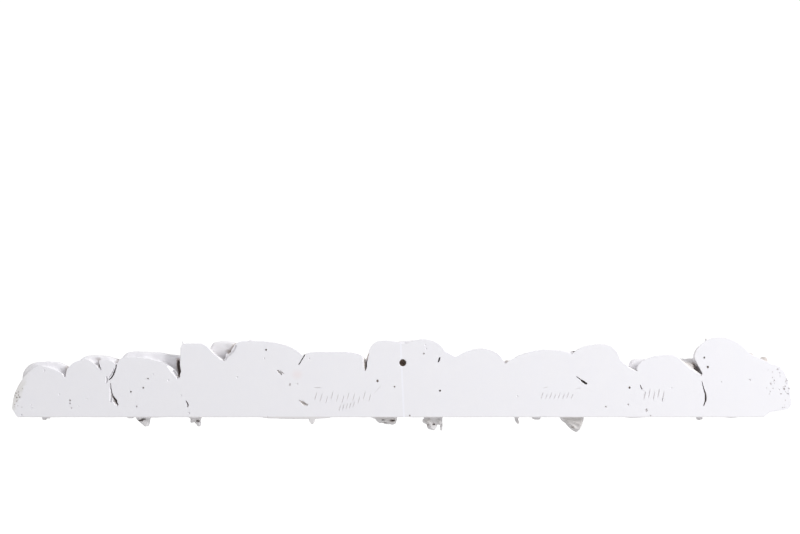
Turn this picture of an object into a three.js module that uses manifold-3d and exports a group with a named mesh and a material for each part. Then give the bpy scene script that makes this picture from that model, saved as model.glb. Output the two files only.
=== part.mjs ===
// Plaster frieze section: a row of cloud-like lobes that stands on a straight lower edge.
// Millimetres, +Z up. X runs along the section. The flat back lies in the plane Y = 0 and
// the relief rises from it towards +Y. The origin is the middle of the flat back.

import * as THREE from "three";
import { mergeVertices } from "three/addons/utils/BufferGeometryUtils.js";
import Module from "manifold-3d";

// Overall sizes of the cast
const LENGTH = 975;
const FACE_HEIGHT = 101;
const RELIEF_DEPTH = 64;

// Countersunk screw in the upper middle of the back
const SCREW_HEAD_DIAMETER = 8.6;
const SCREW_SHANK_DIAMETER = 4.2;
const SCREW_LENGTH = 34;
const SCREW_TIP_LENGTH = 6;
const SCREW_TIP_DIAMETER = 0.8;
const HEAD_RIM_HEIGHT = 0.5;
const HEAD_CONE_HEIGHT = 2.2;
const HEAD_BELOW_FACE = 0.7;
const CROSS_SLOT_WIDTH = 1.1;
const CROSS_SLOT_LENGTH = 4.8;
const CROSS_SLOT_DEPTH = 1.8;
const SCREW_CLEARANCE = 0.3;
const SCREW_ABOVE_MIDDLE = 17.8;
const SCREW_RIGHT_OF_MIDDLE = 1.5;

// Facets
const OUTLINE_STEPS = 8;
const RELIEF_STEPS = 5;
const DEPTH_STEPS = 4;
const SCREW_SIDES = 24;

// Cutters start this far behind the back, so that every cut opens cleanly
const CUT_START = 2;

// The carving is given in shares: x in thousandths of the length from the left end as the back
// is seen, z in hundredths of the face height from the lower edge, y in hundredths of the depth.
const X_SHARES = 1000;
const Z_SHARES = 100;
const Y_SHARES = 100;

// The lobes whose cut backs make the flat face. A lobe climbs from its left foot to its crown
// and falls to its right foot along two quarter superellipses, where a square of 1 is a straight
// slope, 2 is round and more is squarer. Its outline closes along the points named below.
const BACK_LOBES = [
  {
    from: 1, crown: 36, to: 69, feet: [17, 50], top: 63.8, square: [1.6, 1.6],
    below: [[70, 0], [7, 0], [0, 11]],
  },
  { from: 69, crown: 97, to: 116, feet: [50, 55], top: 72, square: [2.2, 1.3] },
  { from: 110, crown: 119, to: 138, feet: [56, 60], top: 71.6, square: [5, 3] },
  { from: 136, crown: 152, to: 215, feet: [64, 48], top: 75, square: [3, 2] },
  { from: 216, crown: 243, to: 264, feet: [66, 70], top: 91.8, square: [9, 1.35] },
  { from: 236, crown: 252, to: 276, feet: [60, 69], top: 81.4, square: [2, 1.1] },
  { from: 272, crown: 277, to: 290, feet: [68, 68], top: 77, square: [1.5, 2] },
  { from: 280, crown: 308, to: 376, feet: [66, 68], top: 95, square: [3.4, 2.15] },
  { from: 368, crown: 405, to: 457, feet: [60, 56], top: 81.4, square: [4, 4] },
  { from: 455, crown: 480, to: 540, feet: [56, 40], top: 95.4, square: [3, 2] },
  { from: 462, crown: 526, to: 556, feet: [40, 78], top: 97.2, square: [1.65, 2] },
  { from: 530, crown: 548, to: 572, feet: [60, 73], top: 85.4, square: [2, 1.1] },
  { from: 564, crown: 602, to: 633, feet: [68, 62], top: 85.8, square: [1.6, 2] },
  { from: 630, crown: 682, to: 735, feet: [62, 60], top: 84.4, square: [1.5, 2.2] },
  { from: 717, crown: 755, to: 780.5, feet: [73, 66], top: 90.8, square: [2, 2.35] },
  { from: 768, crown: 780, to: 810, feet: [60, 56], top: 73, square: [2, 0.75] },
  { from: 801, crown: 848, to: 889, feet: [58, 49], top: 77.8, square: [2.2, 1.08] },
  {
    from: 875, crown: 910, to: 955, feet: [74, 64], top: 100, square: [1.9, 1.55],
    below: [[955, 40], [887, 40], [887, 52]],
  },
  { from: 925, crown: 944, to: 990, feet: [60, 55], top: 79, square: [2, 1.2] },
  {
    from: 940, crown: 975, to: 1000, feet: [60, 15], top: 66, square: [2, 2.2],
    below: [[996, 10], [972, 6], [965, 0], [940, 0]],
  },
];
const LOBE_ROOT = 40;
const LOBE_CORE = 26;
const LOBE_FRONT = 68;
const LOBE_FRONT_SWAY = 7;

// The forms of the relief behind them, whose tops show recessed in the notches
const RELIEF_LOBES = [
  { from: 10, crown: 44, to: 78, feet: [46, 40], top: 69.5, square: [3, 2.6] },
  { from: 72, crown: 100, to: 150, feet: [40, 40], top: 77.3, square: [2, 3] },
  { from: 134, crown: 153, to: 250, feet: [50, 40], top: 82.8, square: [2.2, 2.6] },
  { from: 251, crown: 266, to: 304, feet: [50, 40], top: 95.2, square: [4, 3], near: 30 },
  { from: 296, crown: 330, to: 378, feet: [40, 40], top: 87, square: [2.4, 2.4] },
  { from: 370, crown: 420, to: 462, feet: [40, 40], top: 80, square: [3, 3] },
  { from: 452, crown: 474, to: 494, feet: [60, 60], top: 91.5, square: [2.2, 2] },
  { from: 480, crown: 518, to: 550, feet: [50, 50], top: 97.2, square: [4, 2] },
  { from: 548, crown: 596, to: 646, feet: [40, 40], top: 79, square: [2, 2.6] },
  { from: 640, crown: 706, to: 740, feet: [40, 40], top: 83.4, square: [2.2, 4] },
  { from: 730, crown: 762, to: 792, feet: [40, 40], top: 84, square: [2.2, 2] },
  { from: 793, crown: 805, to: 830, feet: [50, 50], top: 73.2, square: [3, 3], near: 26 },
  { from: 822, crown: 862, to: 900, feet: [40, 40], top: 73, square: [3, 5], near: 26 },
  { from: 880, crown: 914, to: 958, feet: [40, 40], top: 94, square: [2.2, 2] },
  { from: 936, crown: 958, to: 988, feet: [40, 40], top: 71, square: [2, 2] },
];
const RELIEF_ROOT = 20;
const RELIEF_CORE = 36;
const RELIEF_NEAR = 20;
const RELIEF_FRONT = 86;
const RELIEF_FRONT_SWAY = 8;
const RELIEF_NEAR_SCALE = 0.95;

// Low swelling forms along the foot of the relief
const SWELL_COUNT = 9;
const SWELL_FIRST = 78;
const SWELL_LAST = 902;
const SWELL_HALF_WIDTH = 58;
const SWELL_SWAY = 9;
const SWELL_TOP = 46;
const SWELL_TOP_SWAY = 8;
const SWELL_FOOT = 18;
const SWELL_BOTTOM = 3;
const SWELL_CORE = 22;
const SWELL_NEAR = 24;
const SWELL_FRONT = 100;
const SWELL_SQUARE = 2.3;

// The slow wave by which repeated forms differ from each other
const SWAY_RATE = 2.4;

// The band that ties the lobes together above the straight lower edge
const BAND_FROM = 22;
const BAND_TO = 955;
const BAND_TOP = 46;
const BAND_FRONT = 70;
const BAND_ROUNDING = 22;

// Ragged plaster that hangs below the lower edge, set in from the back
const HANGING_BITS = [
  { from: 33, crown: 41, to: 46, drop: 5, near: 16, far: 34, square: [1.4, 1.6] },
  { from: 155, crown: 169, to: 176.5, drop: 11.2, near: 10, far: 40, square: [2, 4] },
  { from: 222, crown: 236, to: 243, drop: 11, near: 14, far: 44, square: [1.4, 2.4] },
  { from: 325, crown: 385, to: 432, drop: 2.6, near: 4, far: 52, square: [1.3, 1.3] },
  { from: 379, crown: 384, to: 390, drop: 9, near: 12, far: 28, square: [2, 2] },
  { from: 455, crown: 486, to: 496, drop: 11.5, near: 10, far: 46, square: [1.6, 3] },
  { from: 528, crown: 539, to: 552, drop: 17, near: 12, far: 50, square: [1.6, 1.6] },
  { from: 546, crown: 551, to: 554, drop: 16, near: 24, far: 36, square: [1.2, 2] },
  { from: 641, crown: 649, to: 653, drop: 9, near: 18, far: 34, square: [1.4, 3] },
  { from: 662, crown: 674, to: 681, drop: 2.8, near: 18, far: 32, square: [1.3, 1.3] },
  { from: 698, crown: 725, to: 736, drop: 21, near: 8, far: 54, square: [1.2, 2] },
  { from: 873, crown: 883, to: 889, drop: 3.2, near: 18, far: 34, square: [1.3, 1.3] },
];
const BIT_ROOT = 6;
const BIT_NEAR_SCALE = 0.8;

// Cracks and slits in the flat face: a route in shares, with the width in millimetres at each
// of its points, and a depth in millimetres
const CRACKS = [
  { route: [[109.5, 74, 2.2], [111.5, 67, 1.6], [114.7, 58.7, 0.8]], depth: 9 },
  { route: [[136, 77, 3], [134.3, 65, 1.5], [131.2, 55, 1.8], [125, 46.5, 1]], depth: 12 },
  { route: [[127, 42, 0.8], [127.5, 36, 1.1], [130, 26, 1.8], [133, 22, 2.4], [136, 17, 1.4]], depth: 8 },
  { route: [[212.3, 71, 2.4], [213, 66, 4.2], [214, 61, 5], [215.2, 56.5, 4], [213.8, 51, 1.2]], depth: 26 },
  { route: [[223.8, 20.6, 1], [225.6, 17.5, 1.8], [226, 13, 1]], depth: 6 },
  { route: [[286.5, 92, 1.2], [283, 86.8, 1.5], [279.8, 82.2, 1.4], [277.8, 79.6, 1]], depth: 14 },
  { route: [[344, 58, 0.9], [346.4, 56.2, 1.7], [349, 54.3, 1.1]], depth: 4 },
  { route: [[378.4, 80.6, 1], [372.8, 72.4, 1.2], [368.3, 65.4, 0.8]], depth: 12 },
  { route: [[457, 79, 2], [455.6, 72, 1.8], [454.8, 64.5, 1.3], [454.2, 59, 0.6]], depth: 16 },
  { route: [[368.5, 21, 0.9], [374, 18, 3.4], [380, 15, 1.2]], depth: 3.2 },
  { route: [[549, 74.6, 1.1], [548, 71.8, 2], [547, 69, 1.1]], depth: 12 },
  { route: [[723.5, 50.8, 1], [729, 46.8, 1.5], [734, 43.6, 2.8], [736, 42.2, 2.2]], depth: 12 },
  { route: [[885, 45, 0.8], [888, 36.5, 1.5], [890, 26, 2], [889.7, 19.5, 1.8], [887.6, 14, 1]], depth: 9 },
];

// How the skin of a form closes towards the front: its sweep ends short of a point
const SKIN_SWEEP = THREE.MathUtils.degToRad(78);
const SKIN_FULLNESS = 0.62;

// From shares of the carving to millimetres
function alongX(share) {
  return (share / X_SHARES - 0.5) * LENGTH;
}

function upZ(share) {
  return (share / Z_SHARES - 0.5) * FACE_HEIGHT;
}

function intoY(share) {
  return (share / Y_SHARES) * RELIEF_DEPTH;
}

const AXES = {
  x: new THREE.Vector3(1, 0, 0),
  y: new THREE.Vector3(0, 1, 0),
  z: new THREE.Vector3(0, 0, 1),
};

const wasm = await Module();
wasm.setup();

// A closed solid from a geometry. One that a mapping has mirrored gets its triangles turned round.
function toSolid(geometry, mirrored = false) {
  const bare = geometry.clone();
  bare.deleteAttribute("normal");
  bare.deleteAttribute("uv");
  const welded = mergeVertices(bare);
  const corners = welded.index.array;
  const kept = [];
  for (let i = 0; i < corners.length; i += 3) {
    const [a, b, c] = corners.slice(i, i + 3);
    if (a !== b && b !== c && c !== a) {
      kept.push(...(mirrored ? [a, c, b] : [a, b, c]));
    }
  }
  return new wasm.Manifold(new wasm.Mesh({
    numProp: 3,
    vertProperties: new Float32Array(welded.attributes.position.array),
    triVerts: new Uint32Array(kept),
  }));
}

function toGeometry(solid) {
  const mesh = solid.getMesh();
  const geometry = new THREE.BufferGeometry();
  geometry.setAttribute("position", new THREE.BufferAttribute(new Float32Array(mesh.vertProperties), 3));
  geometry.setIndex(new THREE.BufferAttribute(new Uint32Array(mesh.triVerts), 1));
  geometry.computeVertexNormals();
  return geometry;
}

function joined(solids) {
  return solids.reduce((whole, next) => whole.add(next));
}

// The sway of the repeated form with this number, between -1 and 1
function sway(number) {
  return Math.sin(SWAY_RATE * number);
}

// A quarter superellipse from a foot to the crown
function quarter(foot, crown, square, steps) {
  return Array.from({ length: steps + 1 }, (_, i) => {
    const angle = (i / steps) * (Math.PI / 2);
    const run = Math.cos(angle) ** (2 / square);
    const rise = Math.sin(angle) ** (2 / square);
    return [crown[0] + (foot[0] - crown[0]) * run, foot[1] + (crown[1] - foot[1]) * rise];
  });
}

// The closed outline of a form: up one side, down the other, and back along the points below
function formOutline({ from, crown, to, feet, top, square }, below, steps) {
  const left = quarter([from, feet[0]], [crown, top], square[0], steps);
  const right = quarter([to, feet[1]], [crown, top], square[1], steps).reverse().slice(1);
  return [...left, ...right, ...below].map(([x, z]) => new THREE.Vector2(alongX(x), upZ(z)));
}

// Sweeps an outline forwards while its skin closes round a core
function skin(outline, core, near, far, nearScale = 1) {
  const geometry = new THREE.ExtrudeGeometry(new THREE.Shape(outline), {
    depth: 1,
    steps: DEPTH_STEPS,
    bevelEnabled: false,
  });
  const position = geometry.attributes.position;
  for (let i = 0; i < position.count; i += 1) {
    const sweep = position.getZ(i) * SKIN_SWEEP;
    const scale = sweep > 0 ? Math.cos(sweep) ** SKIN_FULLNESS : nearScale;
    const x = core[0] + (position.getX(i) - core[0]) * scale;
    const z = core[1] + (position.getY(i) - core[1]) * scale;
    const y = near + (far - near) * (Math.sin(sweep) / Math.sin(SKIN_SWEEP));
    position.setXYZ(i, x, y, z);
  }
  return toSolid(geometry, true);
}

function backLobe(lobe, number) {
  const below = lobe.below ?? [[lobe.to, LOBE_ROOT], [lobe.from, LOBE_ROOT]];
  const core = [alongX(lobe.crown), upZ(LOBE_CORE)];
  const front = LOBE_FRONT + LOBE_FRONT_SWAY * sway(number);
  return skin(formOutline(lobe, below, OUTLINE_STEPS), core, 0, intoY(front));
}

function reliefLobe(lobe, number) {
  const below = [[lobe.to, RELIEF_ROOT], [lobe.from, RELIEF_ROOT]];
  const core = [alongX(lobe.crown), upZ(RELIEF_CORE)];
  const near = intoY(lobe.near ?? RELIEF_NEAR);
  const front = intoY(RELIEF_FRONT + RELIEF_FRONT_SWAY * sway(number));
  return skin(formOutline(lobe, below, RELIEF_STEPS), core, near, front, RELIEF_NEAR_SCALE);
}

function swell(number) {
  const spacing = (SWELL_LAST - SWELL_FIRST) / (SWELL_COUNT - 1);
  const crown = SWELL_FIRST + spacing * number;
  const form = {
    from: crown - SWELL_HALF_WIDTH - SWELL_SWAY * sway(number),
    crown,
    to: crown + SWELL_HALF_WIDTH + SWELL_SWAY * sway(number + 1),
    feet: [SWELL_FOOT, SWELL_FOOT],
    top: SWELL_TOP + SWELL_TOP_SWAY * sway(number),
    square: [SWELL_SQUARE, SWELL_SQUARE],
  };
  const below = [[form.to, SWELL_BOTTOM], [form.from, SWELL_BOTTOM]];
  const core = [alongX(crown), upZ(SWELL_CORE)];
  return skin(formOutline(form, below, RELIEF_STEPS), core, intoY(SWELL_NEAR), intoY(SWELL_FRONT));
}

// The band: flat behind and below, rounded in front, pushed along X
function band() {
  const profile = new THREE.Shape();
  const [bottom, top, front, round] = [upZ(0), upZ(BAND_TOP), intoY(BAND_FRONT), intoY(BAND_ROUNDING)];
  profile.moveTo(0, bottom);
  profile.lineTo(front - round, bottom);
  profile.quadraticCurveTo(front, bottom, front, bottom + round);
  profile.lineTo(front, top - round);
  profile.quadraticCurveTo(front, top, front - round, top);
  profile.lineTo(0, top);
  const geometry = new THREE.ExtrudeGeometry(profile, {
    depth: alongX(BAND_TO) - alongX(BAND_FROM),
    bevelEnabled: false,
    curveSegments: RELIEF_STEPS,
  });
  const lying = new THREE.Matrix4().makeBasis(AXES.y, AXES.z, AXES.x);
  return toSolid(geometry.applyMatrix4(lying).translate(alongX(BAND_FROM), 0, 0));
}

function hangingBit({ from, crown, to, drop, near, far, square }) {
  const form = { from, crown, to, feet: [BIT_ROOT, BIT_ROOT], top: -drop, square };
  const core = [alongX(crown), upZ(BIT_ROOT)];
  return skin(formOutline(form, [], RELIEF_STEPS), core, intoY(near), intoY(far), BIT_NEAR_SCALE);
}

// A crack: half its width is laid off on each side of its route, square to the route
function crack({ route, depth }) {
  const middle = route.map(([x, z]) => new THREE.Vector2(alongX(x), upZ(z)));
  const sides = [1, -1].map((side) => middle.map((point, i) => {
    const ahead = middle[Math.min(i + 1, middle.length - 1)];
    const behind = middle[Math.max(i - 1, 0)];
    const along = ahead.clone().sub(behind).normalize();
    const half = (side * route[i][2]) / 2;
    return new THREE.Vector2(point.x - along.y * half, point.y + along.x * half);
  }));
  const geometry = new THREE.ExtrudeGeometry(new THREE.Shape([...sides[0], ...sides[1].reverse()]), {
    depth: depth + CUT_START,
    bevelEnabled: false,
  });
  const facingBack = new THREE.Matrix4().makeBasis(AXES.x, AXES.z, AXES.y);
  return toSolid(geometry.applyMatrix4(facingBack).translate(0, -CUT_START, 0), true);
}

// Turns a profile of radius and depth round the screw's axis
function turned(profile) {
  const points = profile.map(([radius, depth]) => new THREE.Vector2(radius, depth));
  const geometry = new THREE.LatheGeometry(points, SCREW_SIDES);
  geometry.translate(SCREW_RIGHT_OF_MIDDLE, 0, SCREW_ABOVE_MIDDLE);
  return toSolid(geometry);
}

// Profile of the screw, or of its hole where a clearance is given
function screwProfile(clearance, mouth) {
  const [head, shank] = [SCREW_HEAD_DIAMETER / 2 + clearance, SCREW_SHANK_DIAMETER / 2 + clearance];
  const tip = SCREW_TIP_DIAMETER / 2 + clearance;
  const coneStart = HEAD_BELOW_FACE + HEAD_RIM_HEIGHT + clearance;
  const end = HEAD_BELOW_FACE + SCREW_LENGTH + clearance;
  return [
    [0, mouth],
    [head, mouth],
    [head, coneStart],
    [shank, coneStart + HEAD_CONE_HEIGHT],
    [shank, end - SCREW_TIP_LENGTH],
    [tip, end],
    [0, end],
  ];
}

function fixingScrew() {
  const body = turned(screwProfile(0, HEAD_BELOW_FACE));
  const bars = [[CROSS_SLOT_LENGTH, CROSS_SLOT_WIDTH], [CROSS_SLOT_WIDTH, CROSS_SLOT_LENGTH]];
  return bars.reduce((screw, [width, height]) => {
    const bar = new THREE.BoxGeometry(width, 2 * CROSS_SLOT_DEPTH, height);
    bar.translate(SCREW_RIGHT_OF_MIDDLE, HEAD_BELOW_FACE, SCREW_ABOVE_MIDDLE);
    return screw.subtract(toSolid(bar));
  }, body);
}

function plasterFrieze() {
  const cast = joined([
    band(),
    ...BACK_LOBES.map(backLobe),
    ...RELIEF_LOBES.map(reliefLobe),
    ...Array.from({ length: SWELL_COUNT }, (_, number) => swell(number)),
    ...HANGING_BITS.map(hangingBit),
  ]);
  const screwHole = turned(screwProfile(SCREW_CLEARANCE, -CUT_START));
  return [...CRACKS.map(crack), screwHole].reduce((whole, cut) => whole.subtract(cut), cast);
}

function piece(name, solid, material) {
  const mesh = new THREE.Mesh(toGeometry(solid), material);
  mesh.name = name;
  return mesh;
}

const plaster = new THREE.MeshStandardMaterial({ color: 0xeeecea, roughness: 0.85, metalness: 0 });
const bronzedSteel = new THREE.MeshStandardMaterial({ color: 0x55483f, roughness: 0.45, metalness: 0.9 });

const group = new THREE.Group();
group.add(piece("plaster_frieze", plasterFrieze(), plaster));
group.add(piece("fixing_screw", fixingScrew(), bronzedSteel));

export default group;
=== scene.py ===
"""Plaster frieze section in a white studio: the weathered cast, its fixing screw, light and camera."""

import logging
import math
from collections.abc import Iterable, Sequence
from dataclasses import dataclass, field
from enum import Enum
from itertools import product

import bmesh
import bpy
import numpy as np
from mathutils import Matrix, Vector


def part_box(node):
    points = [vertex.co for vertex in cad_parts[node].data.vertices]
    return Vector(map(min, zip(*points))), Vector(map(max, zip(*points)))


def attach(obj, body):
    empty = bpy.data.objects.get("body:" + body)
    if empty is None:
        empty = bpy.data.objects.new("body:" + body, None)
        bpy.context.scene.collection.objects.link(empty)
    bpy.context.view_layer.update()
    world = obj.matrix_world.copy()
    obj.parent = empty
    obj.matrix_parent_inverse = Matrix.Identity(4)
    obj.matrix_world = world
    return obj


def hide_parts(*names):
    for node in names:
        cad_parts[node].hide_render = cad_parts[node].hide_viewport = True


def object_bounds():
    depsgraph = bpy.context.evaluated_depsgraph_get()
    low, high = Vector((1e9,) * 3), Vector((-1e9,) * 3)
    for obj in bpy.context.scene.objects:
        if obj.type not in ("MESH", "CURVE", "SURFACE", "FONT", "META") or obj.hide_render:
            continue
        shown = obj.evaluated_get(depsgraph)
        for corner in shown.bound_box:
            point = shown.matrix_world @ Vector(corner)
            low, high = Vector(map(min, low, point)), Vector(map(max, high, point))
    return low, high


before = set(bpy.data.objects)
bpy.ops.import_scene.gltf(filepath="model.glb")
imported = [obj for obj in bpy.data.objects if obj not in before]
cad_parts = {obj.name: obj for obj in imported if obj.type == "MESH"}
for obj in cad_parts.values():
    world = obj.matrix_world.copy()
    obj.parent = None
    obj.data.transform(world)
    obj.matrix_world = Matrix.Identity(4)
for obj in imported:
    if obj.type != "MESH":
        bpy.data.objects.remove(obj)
CAD_LOW, CAD_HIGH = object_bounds()

MM = 0.001
EYE = (-0.0019, -2.361, 0.1375)
BODY = "root"
CAST_NODE = "plaster_frieze"
SCREW_NODE = "fixing_screw"

log = logging.getLogger("plaster_frieze")


class Detail(Enum):
    """How fine the cast is modelled: the edge of a voxel in millimetres."""

    DRAFT = 1.5
    FULL = 0.8


@dataclass(frozen=True)
class FlatBack:
    """The flat back, on which a mark is placed in shares, as a carver would lay it out.

    Across, a share is a thousandth of the length from the left end. Up, it is a hundredth of the
    height from the lower edge.
    """

    length: float
    height: float

    def at(self, across: float, up: float, deep: float = 0.0) -> Vector:
        """Gives the place of a mark.

        Args:
            across: Share of the length.
            up: Share of the height.
            deep: Millimetres in from the flat back.

        Returns:
            The point in metres.
        """
        x = (across / 1000 - 0.5) * self.length
        z = (up / 100 - 0.5) * self.height
        return Vector((x, deep * MM, z))

    def behind(self, across: float, up: float, deep: float) -> Vector:
        """Gives the place further in that the camera sees in line with a mark.

        Args:
            across: Share of the length.
            up: Share of the height.
            deep: Millimetres in from the flat back.

        Returns:
            The point in metres.
        """
        eye = Vector(EYE)
        mark = self.at(across, up)
        return eye + (mark - eye) * (deep * MM - eye.y) / -eye.y


BACK = FlatBack(length=CAD_HIGH[0] - CAD_LOW[0], height=2 * CAD_HIGH[2])


@dataclass(frozen=True)
class Waves:
    """Smooth random waves through space, the same on each run.

    Attributes:
        size: Distance between neighbouring crests, in millimetres.
        seed: Picks the set of waves.
        stretch: How far the waves are drawn out along each axis.
    """

    size: float
    seed: int
    stretch: tuple[float, float, float] = (1.0, 1.0, 1.0)

    CELLS = 32

    def at(self, points: np.ndarray) -> np.ndarray:
        """Gives the height of the waves.

        Args:
            points: One point in metres to a row.

        Returns:
            A value between -1 and 1 for each point.
        """
        random = np.random.default_rng(self.seed)
        lattice = random.uniform(-1, 1, (self.CELLS,) * 3)
        turn, _ = np.linalg.qr(random.normal(size=(3, 3)))
        cells = (points / (np.array(self.stretch) * self.size * MM)) @ turn
        base = np.floor(cells).astype(int)
        part = cells - base
        part = part * part * (3 - 2 * part)
        total = np.zeros(len(points))
        for corner in product((0, 1), repeat=3):
            weight = np.prod(np.where(corner, part, 1 - part), axis=1)
            total += weight * lattice[tuple(((base + corner) % self.CELLS).T)]
        return total


def ramp(values: np.ndarray, start: float, end: float) -> np.ndarray:
    """Rises smoothly from 0 to 1.

    Args:
        values: What the ramp follows.
        start: Value where the ramp is 0.
        end: Value where the ramp is 1.

    Returns:
        The height of the ramp for each value.
    """
    share = np.clip((values - start) / (end - start), 0, 1)
    return share * share * (3 - 2 * share)


def new_object(name: str, bm: bmesh.types.BMesh) -> bpy.types.Object:
    """Turns a bmesh into an object of the scene and frees it."""
    mesh = bpy.data.meshes.new(name)
    bm.to_mesh(mesh)
    bm.free()
    made = bpy.data.objects.new(name, mesh)
    bpy.context.scene.collection.objects.link(made)
    return made


def apply_modifiers(piece: bpy.types.Object) -> None:
    """Makes the shape that the modifiers give the piece's own mesh."""
    bpy.context.view_layer.update()
    seen = piece.evaluated_get(bpy.context.evaluated_depsgraph_get())
    shaped = bpy.data.meshes.new_from_object(seen)
    old = piece.data
    piece.modifiers.clear()
    piece.data = shaped
    shaped.name = piece.name
    bpy.data.meshes.remove(old)


def modify(piece: bpy.types.Object, kind: str, **settings: object) -> None:
    """Adds one modifier to the piece and applies it.

    Args:
        piece: The object to change.
        kind: Blender's name of the modifier's type.
        **settings: The modifier's own settings.
    """
    modifier = piece.modifiers.new(kind.lower(), kind)
    for name, value in settings.items():
        setattr(modifier, name, value)
    apply_modifiers(piece)


def cut(piece: bpy.types.Object, tool: bpy.types.Object, operation: str = "DIFFERENCE") -> None:
    """Cuts a piece with a tool, or keeps what both share, and removes the tool.

    Args:
        piece: The object that is cut.
        tool: A closed mesh.
        operation: Blender's name of the boolean operation.
    """
    modify(piece, "BOOLEAN", object=tool, operation=operation, solver="MANIFOLD")
    mesh = tool.data
    bpy.data.objects.remove(tool)
    bpy.data.meshes.remove(mesh)


def loft(bm: bmesh.types.BMesh, sections: Sequence[Sequence[Vector]]) -> None:
    """Joins sections into one closed body.

    Args:
        bm: Where the body is made.
        sections: Loops of as many points each, in the order in which they are joined.
    """
    rings = []
    for section in sections:
        verts = [bm.verts.new(point) for point in section]
        rings.append([bm.edges.new(pair) for pair in zip(verts, verts[1:] + verts[:1])])
    for first, second in zip(rings, rings[1:]):
        bmesh.ops.bridge_loops(bm, edges=first + second)
    bmesh.ops.holes_fill(bm, edges=rings[0] + rings[-1])


class Value:
    """A number that a shader works out, on which Python's operators add Math nodes."""

    def __init__(self, tree: "Tree", socket: bpy.types.NodeSocket) -> None:
        """Keeps the tree and the socket that gives the number."""
        self.tree = tree
        self.socket = socket

    def _math(self, operation: str, first: object, second: object = 0.0) -> "Value":
        """Adds one Math node and gives its result."""
        return self.tree.value("ShaderNodeMath", {"operation": operation}, {0: first, 1: second})

    def __add__(self, other: object) -> "Value":
        """Adds a value or a number."""
        return self._math("ADD", self, other)

    def __sub__(self, other: object) -> "Value":
        """Takes a value or a number away."""
        return self._math("SUBTRACT", self, other)

    def __rsub__(self, other: object) -> "Value":
        """Takes this value away from a number."""
        return self._math("SUBTRACT", other, self)

    def __mul__(self, other: object) -> "Value":
        """Multiplies by a value or a number."""
        return self._math("MULTIPLY", self, other)

    def __truediv__(self, other: object) -> "Value":
        """Divides by a value or a number."""
        return self._math("DIVIDE", self, other)

    def __abs__(self) -> "Value":
        """Drops the sign."""
        return self._math("ABSOLUTE", self)

    def __pow__(self, other: object) -> "Value":
        """Raises to a power."""
        return self._math("POWER", self, other)

    __radd__ = __add__
    __rmul__ = __mul__


class Tree:
    """The nodes of a material or of the world."""

    def __init__(self, owner: bpy.types.Material | bpy.types.World) -> None:
        """Starts the owner's node tree afresh."""
        owner.use_nodes = True
        self.tree = owner.node_tree
        self.tree.nodes.clear()

    def node(self, kind: str, settings: dict | None = None, inputs: dict | None = None) -> bpy.types.Node:
        """Adds any node.

        Args:
            kind: The node's type.
            settings: Its settings, such as an operation, or a ramp's stops.
            inputs: Its sockets by name or number, each with a Value, an output socket or a plain value.

        Returns:
            The new node.
        """
        made = self.tree.nodes.new(kind)
        for name, value in (settings or {}).items():
            if name == "stops":
                self._set_stops(made.color_ramp, value)
            else:
                setattr(made, name, value)
        for name, value in (inputs or {}).items():
            source = value.socket if isinstance(value, Value) else value
            if isinstance(source, bpy.types.NodeSocket):
                self.tree.links.new(source, made.inputs[name])
            else:
                made.inputs[name].default_value = source
        return made

    @staticmethod
    def _set_stops(color_ramp: bpy.types.ColorRamp, stops: Sequence[tuple[float, tuple]]) -> None:
        """Gives a ramp its stops, each a place and a colour."""
        for element, (place, color) in zip(color_ramp.elements, (stops[0], stops[-1])):
            element.position = place
            element.color = color
        for place, color in stops[1:-1]:
            color_ramp.elements.new(place).color = color

    def value(self, kind: str, settings: dict | None = None, inputs: dict | None = None, output: object = 0) -> Value:
        """Adds a node and gives one of its outputs as a Value."""
        return Value(self, self.node(kind, settings, inputs).outputs[output])

    def mix(self, factor: object, first: object, second: object) -> bpy.types.NodeSocket:
        """Mixes two colours and gives the colour between them."""
        settings = {"data_type": "RGBA"}
        return self.node("ShaderNodeMix", settings, {0: factor, 6: first, 7: second}).outputs[2]

    def step(self, value: Value, start: float, end: float) -> Value:
        """Rises smoothly from 0 to 1 while the value goes from start to end."""
        settings = {"interpolation_type": "SMOOTHSTEP"}
        limits = {"Value": value, "From Min": start, "From Max": end}
        if start > end:
            limits = {"Value": value, "From Min": end, "From Max": start, "To Min": 1.0, "To Max": 0.0}
        return self.value("ShaderNodeMapRange", settings, limits)

    def noise(self, place: object, size: float, detail: float = 3.0) -> Value:
        """Cloudy noise between 0 and 1 with grains of the given size in millimetres."""
        inputs = {"Vector": place, "Scale": 1 / (size * MM), "Detail": detail, "Roughness": 0.6}
        return self.value("ShaderNodeTexNoise", None, inputs)


def gray(level: float) -> tuple[float, float, float, float]:
    """A neutral colour."""
    return (level, level, level, 1.0)


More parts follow.
